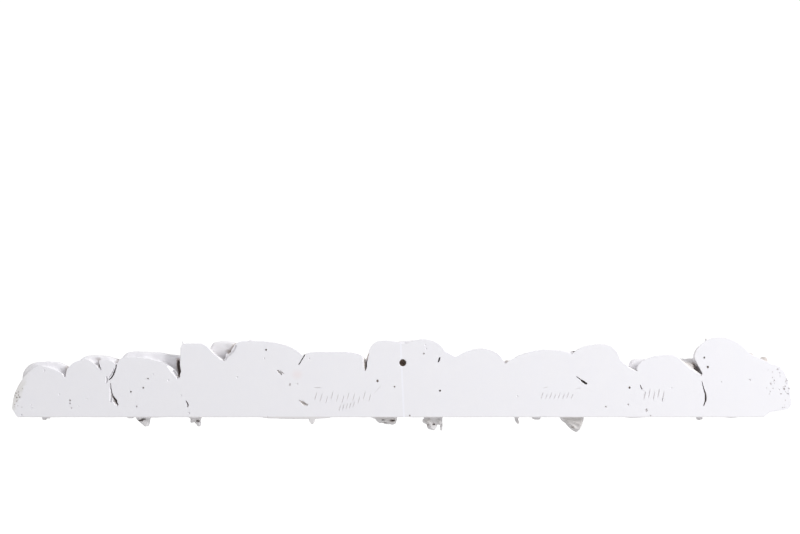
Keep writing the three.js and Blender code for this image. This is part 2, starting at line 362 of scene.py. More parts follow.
@dataclass(frozen=True)
class PlasterFinish:
    """Matt white casting plaster: mottled, with faint stains, a darker band along the lower edge, and painted shade on
    the rim walls, deeper surfaces, hanging bits and crevices, which also hold grime.
    """

    white: tuple = (0.862, 0.855, 0.9, 1.0)
    chalk: tuple = (0.88, 0.87, 0.9, 1.0)
    # Grey-beige for painted shade, and for the darker band along the lower edge.
    dust_and_shade: tuple = (0.62, 0.59, 0.57, 1.0)
    buff: tuple = (0.66, 0.64, 0.58, 1.0)
    # Brown for grime and painted shade in the crevices.
    dirt_and_shade_brown: tuple = (0.36, 0.29, 0.25, 1.0)
    pale: tuple = (0.92, 0.92, 0.98, 1.0)
    rust: tuple = (0.86, 0.78, 0.8, 1.0)
    roughness: float = 0.82

    def make(self) -> bpy.types.Material:
        """Builds the material.

        Returns:
            The plaster material.
        """
        material = bpy.data.materials.new("white_casting_plaster")
        tree = Tree(material)
        place = tree.node("ShaderNodeTexCoord").outputs["Object"]
        axes = tree.node("ShaderNodeSeparateXYZ", None, {0: place}).outputs
        x, y, z = (Value(tree, axis) for axis in axes)
        color = tree.mix(tree.noise(place, 22), self.white, self.chalk)
        # Painted shade, mottled, on the bits that hang below the lower edge, in the shade of the cast above them.
        below = tree.step(z, -0.0508, -0.0525) * tree.step(y, 0.0005, 0.002)
        hanging_shade = below * (tree.noise(place, 6) * 0.7 + 0.1)
        # Painted shade on the walls just behind the flat back: weak at the left end, strong over the rest.
        rim = tree.step(y, 0.0002, 0.0012) * tree.step(y, 0.009, 0.004)
        edge = rim * (tree.step(x, -0.25, -0.15) * 0.65 + 0.1)
        # Painted shade, mottled: the surfaces further in from the flat back are coloured darker.
        deep_shade = tree.step(y, 0.006, 0.02) * (tree.noise(place, 14) * 0.5)
        # A darker band along the lower edge of the flat back.
        foot = tree.step(z, -0.0488, -0.0502) * tree.step(y, 0.001, 0.0) * 0.5
        color = tree.mix(edge, color, self.dust_and_shade)
        color = tree.mix(deep_shade, color, self.dust_and_shade)
        color = tree.mix(foot, color, self.dust_and_shade)
        color = tree.mix(hanging_shade, color, self.dust_and_shade)
        color = tree.mix(self._rough_end(tree, place, x, z), color, self.buff)
        # Grime and painted shade darken the cracks, bubbles, hollows, lumps, pits and scratches.
        crevice_dirt_and_shade = tree.value("ShaderNodeAttribute", {"attribute_name": "crevice_dirt_and_shade"}, output="Fac")
        color = tree.mix(crevice_dirt_and_shade * 0.85, color, self.dirt_and_shade_brown)
        color = tree.mix(self._stain(tree, x, z) * 0.6, color, self.rust)
        color = tree.mix(self._seam(tree, x, y, z) * 0.75, color, self.pale)
        grain = tree.noise(place, 1.6) * 0.5 + tree.noise(place, 9) * 0.5
        relief = tree.node("ShaderNodeBump", None, {"Strength": 0.18, "Distance": 0.0004, "Height": grain})
        surface = tree.node("ShaderNodeBsdfPrincipled", None, {
            "Base Color": color,
            "Roughness": self.roughness,
            "Specular IOR Level": 0.25,
            "Normal": relief.outputs[0],
        })
        tree.node("ShaderNodeOutputMaterial", None, {"Surface": surface.outputs[0]})
        return material

    def _rough_end(self, tree: Tree, place: object, x: Value, z: Value) -> Value:
        """The buff, unevenly edged strip along the slanting left end."""
        slant = (z + 0.035) * 0.46 - 0.4869
        away = x - slant + (tree.noise(place, 7) - 0.5) * 0.014
        return tree.step(away, 0.008, 0.001) * (tree.step(z, 0.004, -0.014) * 0.32 + 0.14)

    def _stain(self, tree: Tree, x: Value, z: Value) -> Value:
        """A faint pinkish stain left of the middle."""
        middle = BACK.at(366, 53)
        across = (x - middle.x) / 0.0085
        up = (z - middle.z) / 0.0075
        return tree.step((across ** 2 + up ** 2) ** 0.5, 1.2, 0.1)

    def _seam(self, tree: Tree, x: Value, y: Value, z: Value) -> Value:
        """A pale line down the middle of the flat back, where two fillings of the mould meet."""
        line = (0.0005 - z) * 0.045
        return tree.step(abs(x - line - 0.0008), 0.0016, 0.0006) * tree.step(y, 0.0004, 0.0001)


@dataclass(frozen=True)
class BronzedSteelFinish:
    """Dark bronzed steel, worn a little brighter in random patches."""

    dark: tuple = (0.045, 0.03, 0.022, 1.0)
    worn: tuple = (0.2, 0.15, 0.12, 1.0)

    def make(self) -> bpy.types.Material:
        """Builds the material.

        Returns:
            The screw's material.
        """
        material = bpy.data.materials.new("dark_bronzed_steel")
        tree = Tree(material)
        place = tree.node("ShaderNodeTexCoord").outputs["Object"]
        wear = tree.noise(place, 1.2)
        color = tree.mix(tree.step(wear, 0.4, 0.7), self.dark, self.worn)
        surface = tree.node("ShaderNodeBsdfPrincipled", None, {
            "Base Color": color,
            "Metallic": 0.8,
            "Roughness": wear * 0.3 + 0.35,
        })
        tree.node("ShaderNodeOutputMaterial", None, {"Surface": surface.outputs[0]})
        return material


@dataclass(frozen=True)
class Bubble:
    """An open air bubble in the flat back.

    Attributes:
        across: Share of the length.
        up: Share of the height.
        radius: Radius of its mouth in millimetres.
        sunk: How far its middle lies in, in radii.
        tall: How much taller than wide it is.
    """

    across: float
    up: float
    radius: float
    sunk: float = 0.6
    tall: float = 1.0


@dataclass(frozen=True)
class Stroke:
    """A shallow scratch in the flat back, from one place in shares to another."""

    start: tuple[float, float]
    end: tuple[float, float]
    width: float = 1.5
    depth: float = 0.8


@dataclass(frozen=True)
class Crack:
    """A crack in from the flat back.

    Attributes:
        route: Its places in shares, each with the width there in millimetres.
        depth: How deep it goes, in millimetres.
        dirt_and_shade: How much darker it is coloured, from 0 to 1, for grime and painted shade.
    """

    route: Sequence[tuple[float, float, float]]
    depth: float
    dirt_and_shade: float = 1.0


@dataclass(frozen=True)
class WornRim:
    """A slanted strip worn off the edge of the flat back.

    Attributes:
        route: Its middle in shares, each with the strip's width there in millimetres. The open
            side is on the right of the route.
        depth: How far in its open side lies, in millimetres.
    """

    route: Sequence[tuple[float, float, float]]
    depth: float


@dataclass(frozen=True)
class Lump:
    """A lump of plaster, or the lump that is missing in a hollow.

    Attributes:
        across: Share of the length, as seen on the flat back.
        up: Share of the height, as seen on the flat back.
        deep: Millimetres in from the flat back.
        size: Half its width, thickness and height in millimetres.
        dirt_and_shade: How much darker it is coloured, from 0 to 1, for grime and painted shade.
    """

    across: float
    up: float
    deep: float
    size: tuple[float, float, float]
    dirt_and_shade: float = 0.0


@dataclass(frozen=True)
class Margin:
    """A pitted patch at an end of the flat back: its span in shares both ways, and its pits."""

    across: tuple[float, float]
    up: tuple[float, float]
    count: int


@dataclass(frozen=True)
class Scroll:
    """A curl carved into the front of a cloud.

    Attributes:
        across: Share of the length where its eye lies.
        up: Share of the height where its eye lies.
        reach: Radius of its outer turn in millimetres.
        pitch: Distance from turn to turn in millimetres.
        hand: 1 where it winds to the left, -1 where it winds to the right.
    """

    across: float
    up: float
    reach: float
    pitch: float
    hand: int


CRACKS = (
    Crack(((109.8, 71.6, 3), (111.3, 67.3, 2), (112.8, 63, 1.7), (114.8, 58.7, 0.9)), 10, 0.5),
    Crack(((136, 73.5, 3.6), (135, 70, 3), (134.6, 67.5, 1.6)), 14, 0.4),
    Crack(((134.2, 65.5, 1.6), (133.5, 61.1, 1.7), (131.4, 55, 2.3), (128.8, 50, 2.2), (124.4, 46, 1)), 12, 0.7),
    Crack(((127, 42.6, 0.8), (127.3, 36.4, 1.3), (128.8, 30.2, 1.6), (130.1, 25.2, 2), (131.6, 22, 2.4)), 8, 0.6),
    Crack(((131.6, 22.4, 1.6), (133.4, 20.6, 3.6), (135.2, 18, 2.8), (136.6, 15.4, 1.2)), 12, 0.9),
    Crack(((212.3, 71, 2.4), (213, 66.5, 4.4), (214, 61, 5.6), (215.3, 56.5, 4.4), (213.6, 50.6, 1)), 13, 0.8),
    Crack(((223.6, 20.8, 1.2), (225.4, 17.8, 1.9), (226.2, 14.6, 1.9), (225.8, 12.4, 1.1)), 6, 0.9),
    Crack(((286.6, 91, 1.2), (283, 86.6, 1.7), (280, 82.4, 1.6), (277.8, 79.8, 1.2)), 15, 0.9),
    Crack(((344, 58.2, 1), (346.6, 56.2, 1.8), (349.4, 54, 1.4)), 1.6, 0.5),
    Crack(((378, 79.8, 1), (374.8, 75.6, 1.3), (371.5, 70.4, 1.3), (368.2, 65.2, 1.4)), 12, 0.8),
    Crack(((457.8, 80, 1.6), (456.4, 74, 1.9), (454.8, 68, 1.7), (455, 62.6, 1.5), (454.1, 58.6, 0.8)), 8, 0.8),
    Crack(((549.5, 74.3, 1.6), (548.2, 71.6, 2.3), (547, 68.3, 1.9)), 12),
    Crack(((724.2, 50.8, 1), (729.2, 47, 1.3), (733, 44.6, 1.9), (736.4, 42.3, 3.4), (738, 41.4, 2.2)), 12),
    Crack(((885.2, 45, 0.8), (887, 38, 1.4), (889.4, 29, 2), (890.4, 23.5, 2.2), (887.6, 14, 1.4)), 9, 0.8),
    Crack(((874.6, 66.4, 1.6), (878.6, 61.2, 2.4), (882.6, 56.8, 1.6)), 10, 0.8),
    Crack(((67.9, 61, 1.8), (68.9, 56, 1.5), (69.4, 51.4, 0.8)), 10, 0.5),
    Crack(((805.8, 40.4, 1), (807.1, 37.4, 1.6), (808.2, 34.6, 1)), 3),
    Crack(((368.4, 21.6, 1), (371.4, 19.6, 3.4), (375.6, 17.2, 5.6), (379.8, 15, 3.4)), 1.5, 0.5),
)

WORN_RIMS = (
    WornRim(((67.9, 49.6, 1.6), (66.4, 53.7, 2.4), (63.8, 56.4, 2.8), (58.7, 58.8, 2.8), (52.3, 60.6, 2.2),
             (45.9, 63.8, 1.4)), 2.4),
    WornRim(((111.8, 60.5, 1.4), (109.3, 65.4, 2), (106.8, 69.1, 2.2), (102.3, 71.7, 1.8), (97.2, 72.4, 1.4)), 2),
    WornRim(((133.2, 66.4, 1.8), (129.9, 69.8, 2.2), (125.4, 71, 1.8)), 2),
    WornRim(((124.4, 49.6, 1), (128, 55, 1.6), (130.8, 60.5, 1.4)), 1.6),
    WornRim(((120.9, 42.6, 1.8), (122, 46.9, 2.2), (120.8, 50.8, 1.6)), 1.8),
    WornRim(((126.3, 19, 2), (127, 25.9, 2.4), (127, 32.1, 2.2), (126, 38.6, 1.4)), 2),
    WornRim(((135.8, 14, 1.6), (132.4, 17, 2.2), (129.9, 20.4, 1.8)), 2),
    WornRim(((210.4, 67.8, 2.4), (204.8, 71, 3), (198.4, 73.2, 2.8), (190.7, 74.5, 1.8)), 2.6),
    WornRim(((213, 47.8, 2), (208.7, 54.3, 3.4), (203.6, 59.9, 4), (199.9, 63.8, 2.8)), 2.6),
    WornRim(((273, 69.8, 1.4), (267.7, 72.6, 2), (263.2, 77, 2.4), (259.3, 82.7, 2.8), (256.6, 90.5, 2.6)), 2.6),
    WornRim(((288.6, 89, 1.4), (285.4, 82, 1.6), (280.8, 77.4, 1.8), (276.8, 74.4, 1.8), (274.9, 70.6, 1.2)), 1.4),
    WornRim(((346.2, 52.6, 1.8), (342.6, 54.9, 2.4), (340.4, 58.2, 1.8)), 2),
    WornRim(((453.2, 57.8, 1.4), (452.3, 63, 2.4), (452, 70.4, 2.6), (451, 76.2, 2.4), (448.2, 78.8, 1.8),
             (443, 79.4, 1.2)), 2.6),
    WornRim(((802.2, 57.4, 1.4), (797.1, 59.3, 1.8), (790.7, 63, 1.6)), 2),
    WornRim(((882, 54.2, 1.6), (877.8, 56.8, 2.6), (871.4, 61.1, 3), (865, 66, 2.4), (858.4, 71.2, 1.4)), 2.4),
)

BUBBLES = tuple(Bubble(*row) for row in (
    (42, 58, 1.3, -0.2), (75, 21, 1.3, 0.6), (75, 17.3, 1.15, 0.45), (77, 11.7, 1.05, 0.45), (97, 22.8, 1, -0.4),
    (61, 28.4, 1.4, -0.6), (25, 16, 1, -0.2), (26, 11.7, 1, 0), (86, 14, 1, -0.4), (13, 3.1, 1.2, 0.2),
    (9, 31.5, 1.1, 0.4), (6.6, 24.7, 1.2, 0.5), (10.6, 25.1, 1.1, 0.5), (7, 20.5, 1, 0.3), (5.4, 30, 1, 0.3),
    (153, 31.7, 1.15, 0.7), (169, 36.8, 1.15, 0.6), (175, 48.1, 1.15, 0.6), (182, 53.2, 1.2, 0),
    (160.5, 13.6, 1.1, 0.5, 1.4), (201, 45.7, 1.3, -0.3), (218, 27.2, 1, -0.3), (228, 5.4, 1.2, 0.2),
    (326.4, 83.7, 1.5, 0.7), (324.3, 73.3, 1.2, -0.1), (381.6, 73, 1.3, -0.4), (289, 49.6, 1.6, -0.6),
    (357, 40.7, 1.2, 0.3, 1.5), (366.6, 41.4, 1.1, -0.1), (328, 0.4, 1.1, 0), (469.2, 45.2, 1.35, 0.7, 1.3),
    (491, 38, 1.15, 0.6), (510.5, 2.3, 1.1, 0.5), (528.6, 79, 1.2, 0.45), (530.6, 89.5, 1.2, -0.4),
    (531.4, 85, 1.2, -0.5), (549.3, 33.1, 1.4, 0.7), (648.4, 26, 1.2, -0.5), (792.3, 36.9, 1.4, 0.7, 1.3),
    (790.7, 16, 1.3, 0.1), (814.2, 9, 1.4, 0.3, 1.5), (819.3, 2.2, 1.1, 0.2), (762, 13.2, 1.2, 0.2),
    (846, 36.6, 1.1, -0.4), (910, 43.8, 1.1, -0.4), (888.1, 74.1, 1.45, 0.7), (892.7, 62.4, 1.4, 0.6, 1.25),
    (884.3, 52.5, 1.1, 0.3), (946.6, 46.4, 1.4, -0.1), (982, 59.6, 1.2, 0.2), (984.6, 55, 1.1, -0.2),
    (984.8, 51.2, 1.1, -0.2), (973.3, 41.6, 1.4, 0), (977.8, 42, 0.9, -0.3), (990.6, 35.2, 1.35, 0.3),
    (984, 34.4, 1, -0.2), (996.6, 35.8, 1.1, 0.2), (994, 45.7, 1.1, 0), (993, 42, 0.9, -0.2),
))

# A lump's last number, where given, colours it darker: grime and painted shade.
LUMPS = (
    Lump(220, 91.5, 5, (1.2, 3.5, 3.6)),
    Lump(307, 95.2, 3, (2, 3, 2)),
    Lump(890.5, 96.6, 3, (1.6, 3, 1.6)),
    Lump(41.6, -1.4, 12, (3.4, 6, 2.6)),
    Lump(43.8, -3.2, 13, (2, 4, 1.8)),
    Lump(48, -0.6, 12, (2.4, 5, 1.4)),
    Lump(152.5, -0.8, 8, (5, 4, 1.2)),
    Lump(172.5, -8, 12, (3, 5, 2.6)),
    Lump(231.3, -4.4, 12, (2.4, 5, 2.8)),
    Lump(239.8, -7.6, 14, (4, 7, 4)),
    Lump(366, 0, 0.5, (46, 9, 2.4)),
    Lump(385.3, -3.6, 3, (3.4, 8, 5)),
    Lump(534, -4, 12, (7, 7, 3.6)),
    Lump(540, -11, 14, (6.4, 7, 5)),
    Lump(548, -5, 11, (4, 5, 5)),
    Lump(551, -14, 15, (1.6, 2.4, 3)),
    Lump(648.6, -4.6, 15, (3.2, 5, 4.8)),
    Lump(672, -1.2, 15, (6, 4, 1.3)),
    Lump(722.7, -6, 9, (2.2, 5, 6)),
    Lump(882, -1.4, 15, (5.4, 5, 2.2)),
    Lump(279.6, 76, 8, (4.6, 9, 4.4)),
    Lump(635, 68.8, 9, (3, 5, 2.6), 0.3),
    Lump(869.8, 67, 15, (13, 8, 6), 0.25),
    Lump(868, 64, 9, (9, 7, 5), 0.2),
    Lump(947, 77.6, 7, (4, 4, 2.2), 0.2),
    Lump(964, 71.2, 9, (5.4, 6, 4.2), 0.5),
)

# A hollow's last number, where given, colours it darker: grime and painted shade; the one at 801.5 is coloured nearly
# black as painted shadow in a deep recess.
HOLLOWS = (
    Lump(166, -3.6, 7, (3.4, 5, 1.2), 0.3),
    Lump(169.5, -2, 7, (3, 5, 1), 0.25),
    Lump(239, -4.6, 8, (2.6, 7, 1.5), 0.3),
    Lump(234.4, -9, 18, (1.7, 22, 3.6)),
    Lump(476.5, -2, 20, (2.2, 26, 0.9)),
    Lump(488.3, -4, 6, (3.6, 7, 1.2), 0.5),
    Lump(479.6, -6.8, 6, (3.6, 5, 0.7), 0.2),
    Lump(533, -9.6, 8, (2.6, 6, 1.4), 0.5),
    Lump(541.5, -8.6, 8, (2.2, 6, 1.2), 0.4),
    Lump(546.4, -15, 18, (2.6, 24, 3)),
    Lump(555.6, -6, 18, (2.8, 30, 5)),
    Lump(718.9, -12.3, 6, (2.4, 4, 1.4), 0.4),
    Lump(738, -10, 20, (4, 44, 5.6)),
    Lump(650.5, -2.4, 12, (1.6, 6, 1.4), 0.3),
    Lump(801.5, 65.5, 36, (4.4, 12, 3), 0.95),
    Lump(722.1, 81.2, 10, (3.2, 10, 0.9), 0.4),
    Lump(272.6, 73, 9, (1.4, 9, 1.6), 0.5),
)

MARGINS = (
    Margin((4, 15), (7, 42), 12),
    Margin((968, 984), (26, 62), 9),
    Margin((984, 997), (12, 50), 16),
)

SCROLLS = (
    Scroll(48, 33, 27, 11, 1),
    Scroll(106, 44, 25, 10.5, -1),
    Scroll(180, 42, 34, 13, 1),
    Scroll(262, 60, 24, 10, -1),
    Scroll(337, 50, 35, 13.5, 1),
    Scroll(417, 44, 33, 13, -1),
    Scroll(512, 58, 34, 13.5, 1),
    Scroll(600, 44, 33, 13, -1),
    Scroll(690, 46, 33, 12.5, 1),
    Scroll(762, 50, 25, 10.5, -1),
    Scroll(845, 36, 28, 12, 1),
    Scroll(916, 58, 32, 12.5, -1),
    Scroll(966, 32, 20, 9, 1),
)


@dataclass
class PlasterCast:
    """The cast: the solid's form with a modelled surface, a scraped flat back and its marks."""

    detail: Detail
    finish: PlasterFinish = field(default_factory=PlasterFinish)
    seed: int = 11
    triangles: int = 150_000
    scrape_allowance: float = 4.0
    depth_share: float = 0.965
    step: float = 1.6
    scraped_normal: float = -0.9995
    pit_count: int = 46
    groove_depth: float = 2.2
    # How much darker the scratches and the pits at the ends are coloured: grime and painted shade.
    stroke_dirt_and_shade: float = 0.16
    pit_dirt_and_shade: float = 0.5

    def build(self) -> bpy.types.Object:
        """Builds and dresses the cast.

        Returns:
            The finished piece.
        """
        cast = self._merged_solid()
        voxel = self.detail.value * MM
        modify(cast, "REMESH", mode="VOXEL", voxel_size=voxel)
        modify(cast, "SMOOTH", iterations=10, factor=0.5)
        self._model_surface(cast)
        self._scrape_back(cast)
        modify(cast, "REMESH", mode="VOXEL", voxel_size=voxel)
        modify(cast, "SMOOTH", iterations=2, factor=0.5)
        modify(cast, "DECIMATE", ratio=self.triangles / self._count_triangles(cast))
        cut(cast, self._crack_tools())
        cut(cast, self._rim_tools())
        cut(cast, self._lump_tools("hollow_tools", HOLLOWS))
        cut(cast, self._bubble_tools())
        cut(cast, self._pit_tools(cast))
        cut(cast, self._stroke_tools())
        self._drop_crumbs(cast)
        self._shade(cast)
        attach(cast, BODY)
        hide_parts(CAST_NODE)
        return cast

    def _merged_solid(self) -> bpy.types.Object:
        """Copies the solid, merges its corners, adds lumps, and leaves plaster to scrape off."""
        bm = bmesh.new()
        bm.from_mesh(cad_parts[CAST_NODE].data)
        bmesh.ops.remove_doubles(bm, verts=bm.verts, dist=1e-6)
        back = [face for face in bm.faces if all(vert.co.y < 1e-6 for vert in face.verts)]
        raised = bmesh.ops.extrude_face_region(bm, geom=back)["geom"]
        corners = [item for item in raised if isinstance(item, bmesh.types.BMVert)]
        bmesh.ops.translate(bm, verts=corners, vec=(0, -self.scrape_allowance * MM, 0))
        self._add_lumps(bm, LUMPS)
        return new_object("plaster_cast", bm)

    @staticmethod
    def _add_lumps(bm: bmesh.types.BMesh, lumps: Iterable[Lump]) -> None:
        """Adds a ball, drawn out to its size, for each lump."""
        for lump in lumps:
            place = BACK.behind(lump.across, lump.up, lump.deep)
            matrix = Matrix.Translation(place) @ Matrix.Diagonal((*(Vector(lump.size) * MM), 1))
            bmesh.ops.create_icosphere(bm, subdivisions=2, radius=1, matrix=matrix)

    def _lump_tools(self, name: str, lumps: Iterable[Lump]) -> bpy.types.Object:
        """Makes a tool of the lumps that are missing."""
        bm = bmesh.new()
        self._add_lumps(bm, lumps)
        return new_object(name, bm)

    @staticmethod
    def _count_triangles(piece: bpy.types.Object) -> int:
        """Counts the triangles of a piece's mesh."""
        return sum(len(polygon.vertices) - 2 for polygon in piece.data.polygons)

    def _model_surface(self, cast: bpy.types.Object) -> None:
        """Gives the relief its hand-modelled lumps, tool marks and grain."""
        mesh = cast.data
        count = len(mesh.vertices)
        points = np.empty(count * 3)
        mesh.vertices.foreach_get("co", points)
        points = points.reshape(-1, 3)
        normals = np.empty(count * 3)
        mesh.vertex_normals.foreach_get("vector", normals)
        normals = normals.reshape(-1, 3)
        deep = ramp(points[:, 1], 0.001, 0.014)
        low = ramp(-points[:, 2], 0.0512, 0.055)
        lift = 1.5 * deep * Waves(34, self.seed).at(points)
        lift += 0.8 * deep * Waves(13, self.seed + 1).at(points)
        lift += (0.12 + 0.25 * deep) * Waves(5, self.seed + 2, (2.2, 1, 1)).at(points)
        lift += (0.05 + 0.1 * deep) * Waves(2.4, self.seed + 3).at(points)
        lift += low * (0.6 - 2.2 * np.abs(Waves(6.5, self.seed + 4).at(points)))
        lift += 0.6 * low * Waves(3.2, self.seed + 5).at(points)
        lift -= self.groove_depth * self._carved(points, normals)
        points[:, 1] *= np.where(points[:, 1] > 0, self.depth_share, 1)
        points += normals * (lift * MM)[:, None]
        mesh.vertices.foreach_set("co", points.ravel())
        mesh.update()

    @staticmethod
    def _carved(points: np.ndarray, normals: np.ndarray) -> np.ndarray:
        """Works out where the curls are carved into the front of the clouds.

        Args:
            points: One point in metres to a row.
            normals: The surface's direction at each point.

        Returns:
            How far each point lies in a groove, from 0 to 1.
        """
        sway = 0.0016 * Waves(26, 5).at(points)
        front = ramp(points[:, 1], 0.022, 0.034) * ramp(normals[:, 1], 0.1, 0.5)
        deepest = np.zeros(len(points))
        for scroll in SCROLLS:
            eye = BACK.at(scroll.across, scroll.up)
            across = (points[:, 0] - eye.x) * scroll.hand
            up = points[:, 2] - eye.z
            reach = (np.hypot(across, up) + sway) / MM
            turn = np.arctan2(up, across) / (2 * math.pi)
            off = np.abs((reach / scroll.pitch - turn) % 1 - 0.5) * scroll.pitch
            groove = ramp(off, 2.4, 0.4) * ramp(reach, scroll.reach, scroll.reach * 0.86)
            deepest = np.maximum(deepest, groove * ramp(reach, 1.5, 4))
        return deepest * front

    def _scrape_back(self, cast: bpy.types.Object) -> None:
        """Cuts everything behind the flat back away."""
        bm = bmesh.new()
        size = Vector((2 * BACK.length, BACK.length, 4 * BACK.height))
        place = Matrix.Translation((0, size.y / 2, 0))
        bmesh.ops.create_cube(bm, size=1.0, matrix=place @ Matrix.Diagonal((*size, 1)))
        cut(cast, new_object("scraper", bm), "INTERSECT")

    def _stations(self, route: Sequence[tuple[float, float, float]]) -> list[tuple[Vector, Vector, float]]:
        """Walks along a route in small steps.

        Args:
            route: Places in shares, each with a width in millimetres.

        Returns:
            For each step its point, the direction to its right within the back, and its width.
        """
        corners = [BACK.at(across, up) for across, up, _ in route]
        widths = [width for _, _, width in route]
        lengths = [(b - a).length for a, b in zip(corners, corners[1:])]
        marks = np.concatenate(([0], np.cumsum(lengths)))
        count = max(2, round(marks[-1] / (self.step * MM)))
        walked = np.linspace(0, marks[-1], count + 1)
        xs = np.interp(walked, marks, [corner.x for corner in corners])
        zs = np.interp(walked, marks, [corner.z for corner in corners])
        points = [Vector((x, 0, z)) for x, z in zip(xs, zs)]
        found = []
        for number, point in enumerate(points):
            ahead = points[min(number + 1, count)] - points[max(number - 1, 0)]
            right = Vector((ahead.z, 0, -ahead.x)).normalized()
            found.append((point, right, np.interp(walked[number], marks, widths) * MM))
        return found

    def _crack_tools(self) -> bpy.types.Object:
        """Makes an uneven blade along each crack."""
        random = np.random.default_rng(self.seed)
        bm = bmesh.new()
        for crack in CRACKS:
            sections = []
            for point, right, width in self._stations(crack.route):
                depth = crack.depth * MM * random.uniform(0.85, 1.0)
                half = width / 2 * random.uniform(0.8, 1.1)
                middle = point + right * width * random.uniform(-0.18, 0.18)
                sections.append([
                    middle + right * half - Vector((0, MM, 0)),
                    middle + right * half * 0.8 + Vector((0, depth * 0.5, 0)),
                    middle + right * half * 0.15 + Vector((0, depth, 0)),
                    middle - right * half * 0.15 + Vector((0, depth, 0)),
                    middle - right * half * 0.8 + Vector((0, depth * 0.5, 0)),
                    middle - right * half - Vector((0, MM, 0)),
                ])
            loft(bm, sections)
        bmesh.ops.recalc_face_normals(bm, faces=bm.faces)
        return new_object("crack_tools", bm)

    def _rim_tools(self) -> bpy.types.Object:
        """Makes a slanted blade along each worn rim."""
        random = np.random.default_rng(self.seed + 1)
        bm = bmesh.new()
        for rim in WORN_RIMS:
            sections = []
            for point, right, width in self._stations(rim.route):
                depth = rim.depth * MM * random.uniform(0.8, 1.1)
                inner = point + right * width * random.uniform(-0.62, -0.4)
                outer = point + right * width * 0.5
                beyond = outer + right * width * 0.4
                sections.append([
                    inner - Vector((0, MM, 0)),
                    inner,
                    outer + Vector((0, depth, 0)),
                    beyond + Vector((0, depth * 1.4, 0)),
                    beyond - Vector((0, MM, 0)),
                ])
            loft(bm, sections)
        bmesh.ops.recalc_face_normals(bm, faces=bm.faces)
        return new_object("rim_tools", bm)

    def _bubble_tools(self) -> bpy.types.Object:
        """Makes one uneven ball for each open bubble; a sunk one has a narrow mouth."""
        bm = bmesh.new()
        random = np.random.default_rng(self.seed + 2)
        for bubble in BUBBLES:
            ball = bubble.radius / math.sqrt(1 - min(bubble.sunk ** 2, 0.7))
            place = BACK.at(bubble.across, bubble.up, ball * bubble.sunk)
            uneven = ball * random.uniform(0.88, 1.12, 3) * (1, 1, bubble.tall) * MM
            matrix = Matrix.Translation(place) @ Matrix.Diagonal((*uneven, 1))
            bmesh.ops.create_icosphere(bm, subdivisions=2, radius=1, matrix=matrix)
        return new_object("bubble_tools", bm)

    def _pit_tools(self, cast: bpy.types.Object) -> bpy.types.Object:
        """Makes small balls scattered over the relief and along both rough ends of the back."""
        bm = bmesh.new()
        random = np.random.default_rng(self.seed + 3)
        relief = [vert.co.copy() for vert in cast.data.vertices if vert.co.y > 0.016]
        chosen = random.choice(len(relief), self.pit_count, replace=False)
        pits = [(relief[number], random.uniform(0.6, 1.4) * MM) for number in chosen]
        for place, radius in pits + list(self._margin_pits()):
            uneven = random.uniform(0.8, 1.2, 3) * radius
            matrix = Matrix.Translation(place) @ Matrix.Diagonal((*uneven, 1))
            bmesh.ops.create_icosphere(bm, subdivisions=2, radius=1, matrix=matrix)
        return new_object("pit_tools", bm)

    def _margin_pits(self) -> Iterable[tuple[Vector, float]]:
        """Scatters pits, each a place and a radius, along both rough ends of the back."""
        random = np.random.default_rng(self.seed + 6)
        for margin in MARGINS:
            for _ in range(margin.count):
                place = BACK.at(random.uniform(*margin.across), random.uniform(*margin.up), 0.2)
                yield place, random.uniform(0.45, 0.95) * MM

    def _strokes(self) -> Iterable[Stroke]:
        """Lays out the rows of scratches: slanting strokes side by side."""
        for number in range(11):
            left = 388 + 6.9 * number
            drop = 2.5 * (number % 3)
            yield Stroke((left, 20 - drop), (left + 3.8, 33 - drop + number % 2))
        yield Stroke((385.5, 36.5), (398, 37), 1.4, 0.8)
        yield Stroke((463, 28), (475, 41), 1.3, 0.5)
        for number in range(5):
            left = 419 + 4.4 * number
            yield Stroke((left, 6 + number), (left + 3.4, 17 + number), 1.4, 0.8)
        for number in range(8):
            left = 678 + 5.5 * number
            yield Stroke((left, 21.5), (left + 3.8, 32 - 2 * (number % 2)), 1.4, 0.8)
        yield Stroke((680, 36), (689, 38), 1.3, 0.7)
        yield Stroke((721, 35), (731, 36.5), 1.3, 0.7)
        for number in range(5):
            left = 810 + 6 * number
            yield Stroke((left, 19 + 3 * (number % 2)), (left + 3, 34 + 3 * (number % 2)), 1.5, 0.9)
        yield Stroke((806, 38), (811, 33), 1.3, 0.7)

    def _stroke_tools(self) -> bpy.types.Object:
        """Makes one thin lens for each scratch."""
        bm = bmesh.new()
        for stroke in self._strokes():
            start, end = BACK.at(*stroke.start), BACK.at(*stroke.end)
            along = end - start
            size = (stroke.width * MM / 2, stroke.depth * MM, along.length / 2)
            turn = Vector((0, 0, 1)).rotation_difference(along).to_matrix().to_4x4()
            matrix = Matrix.Translation((start + end) / 2) @ turn @ Matrix.Diagonal((*size, 1))
            bmesh.ops.create_icosphere(bm, subdivisions=1, radius=1, matrix=matrix)
        return new_object("stroke_tools", bm)

    @staticmethod
    def _drop_crumbs(cast: bpy.types.Object) -> None:
        """Takes away the crumbs that the cuts left loose, and keeps the largest body."""
        bm = bmesh.new()
        bm.from_mesh(cast.data)
        left = set(bm.verts)
        bodies = []
        while left:
            edge_of_body = [left.pop()]
            body = list(edge_of_body)
            while edge_of_body:
                vert = edge_of_body.pop()
                near = {edge.other_vert(vert) for edge in vert.link_edges} & left
                left -= near
                body.extend(near)
                edge_of_body.extend(near)
            bodies.append(body)
        largest = max(bodies, key=len)
        for body in bodies:
            if body is not largest:
                bmesh.ops.delete(bm, geom=body, context="VERTS")
        bm.to_mesh(cast.data)
        bm.free()

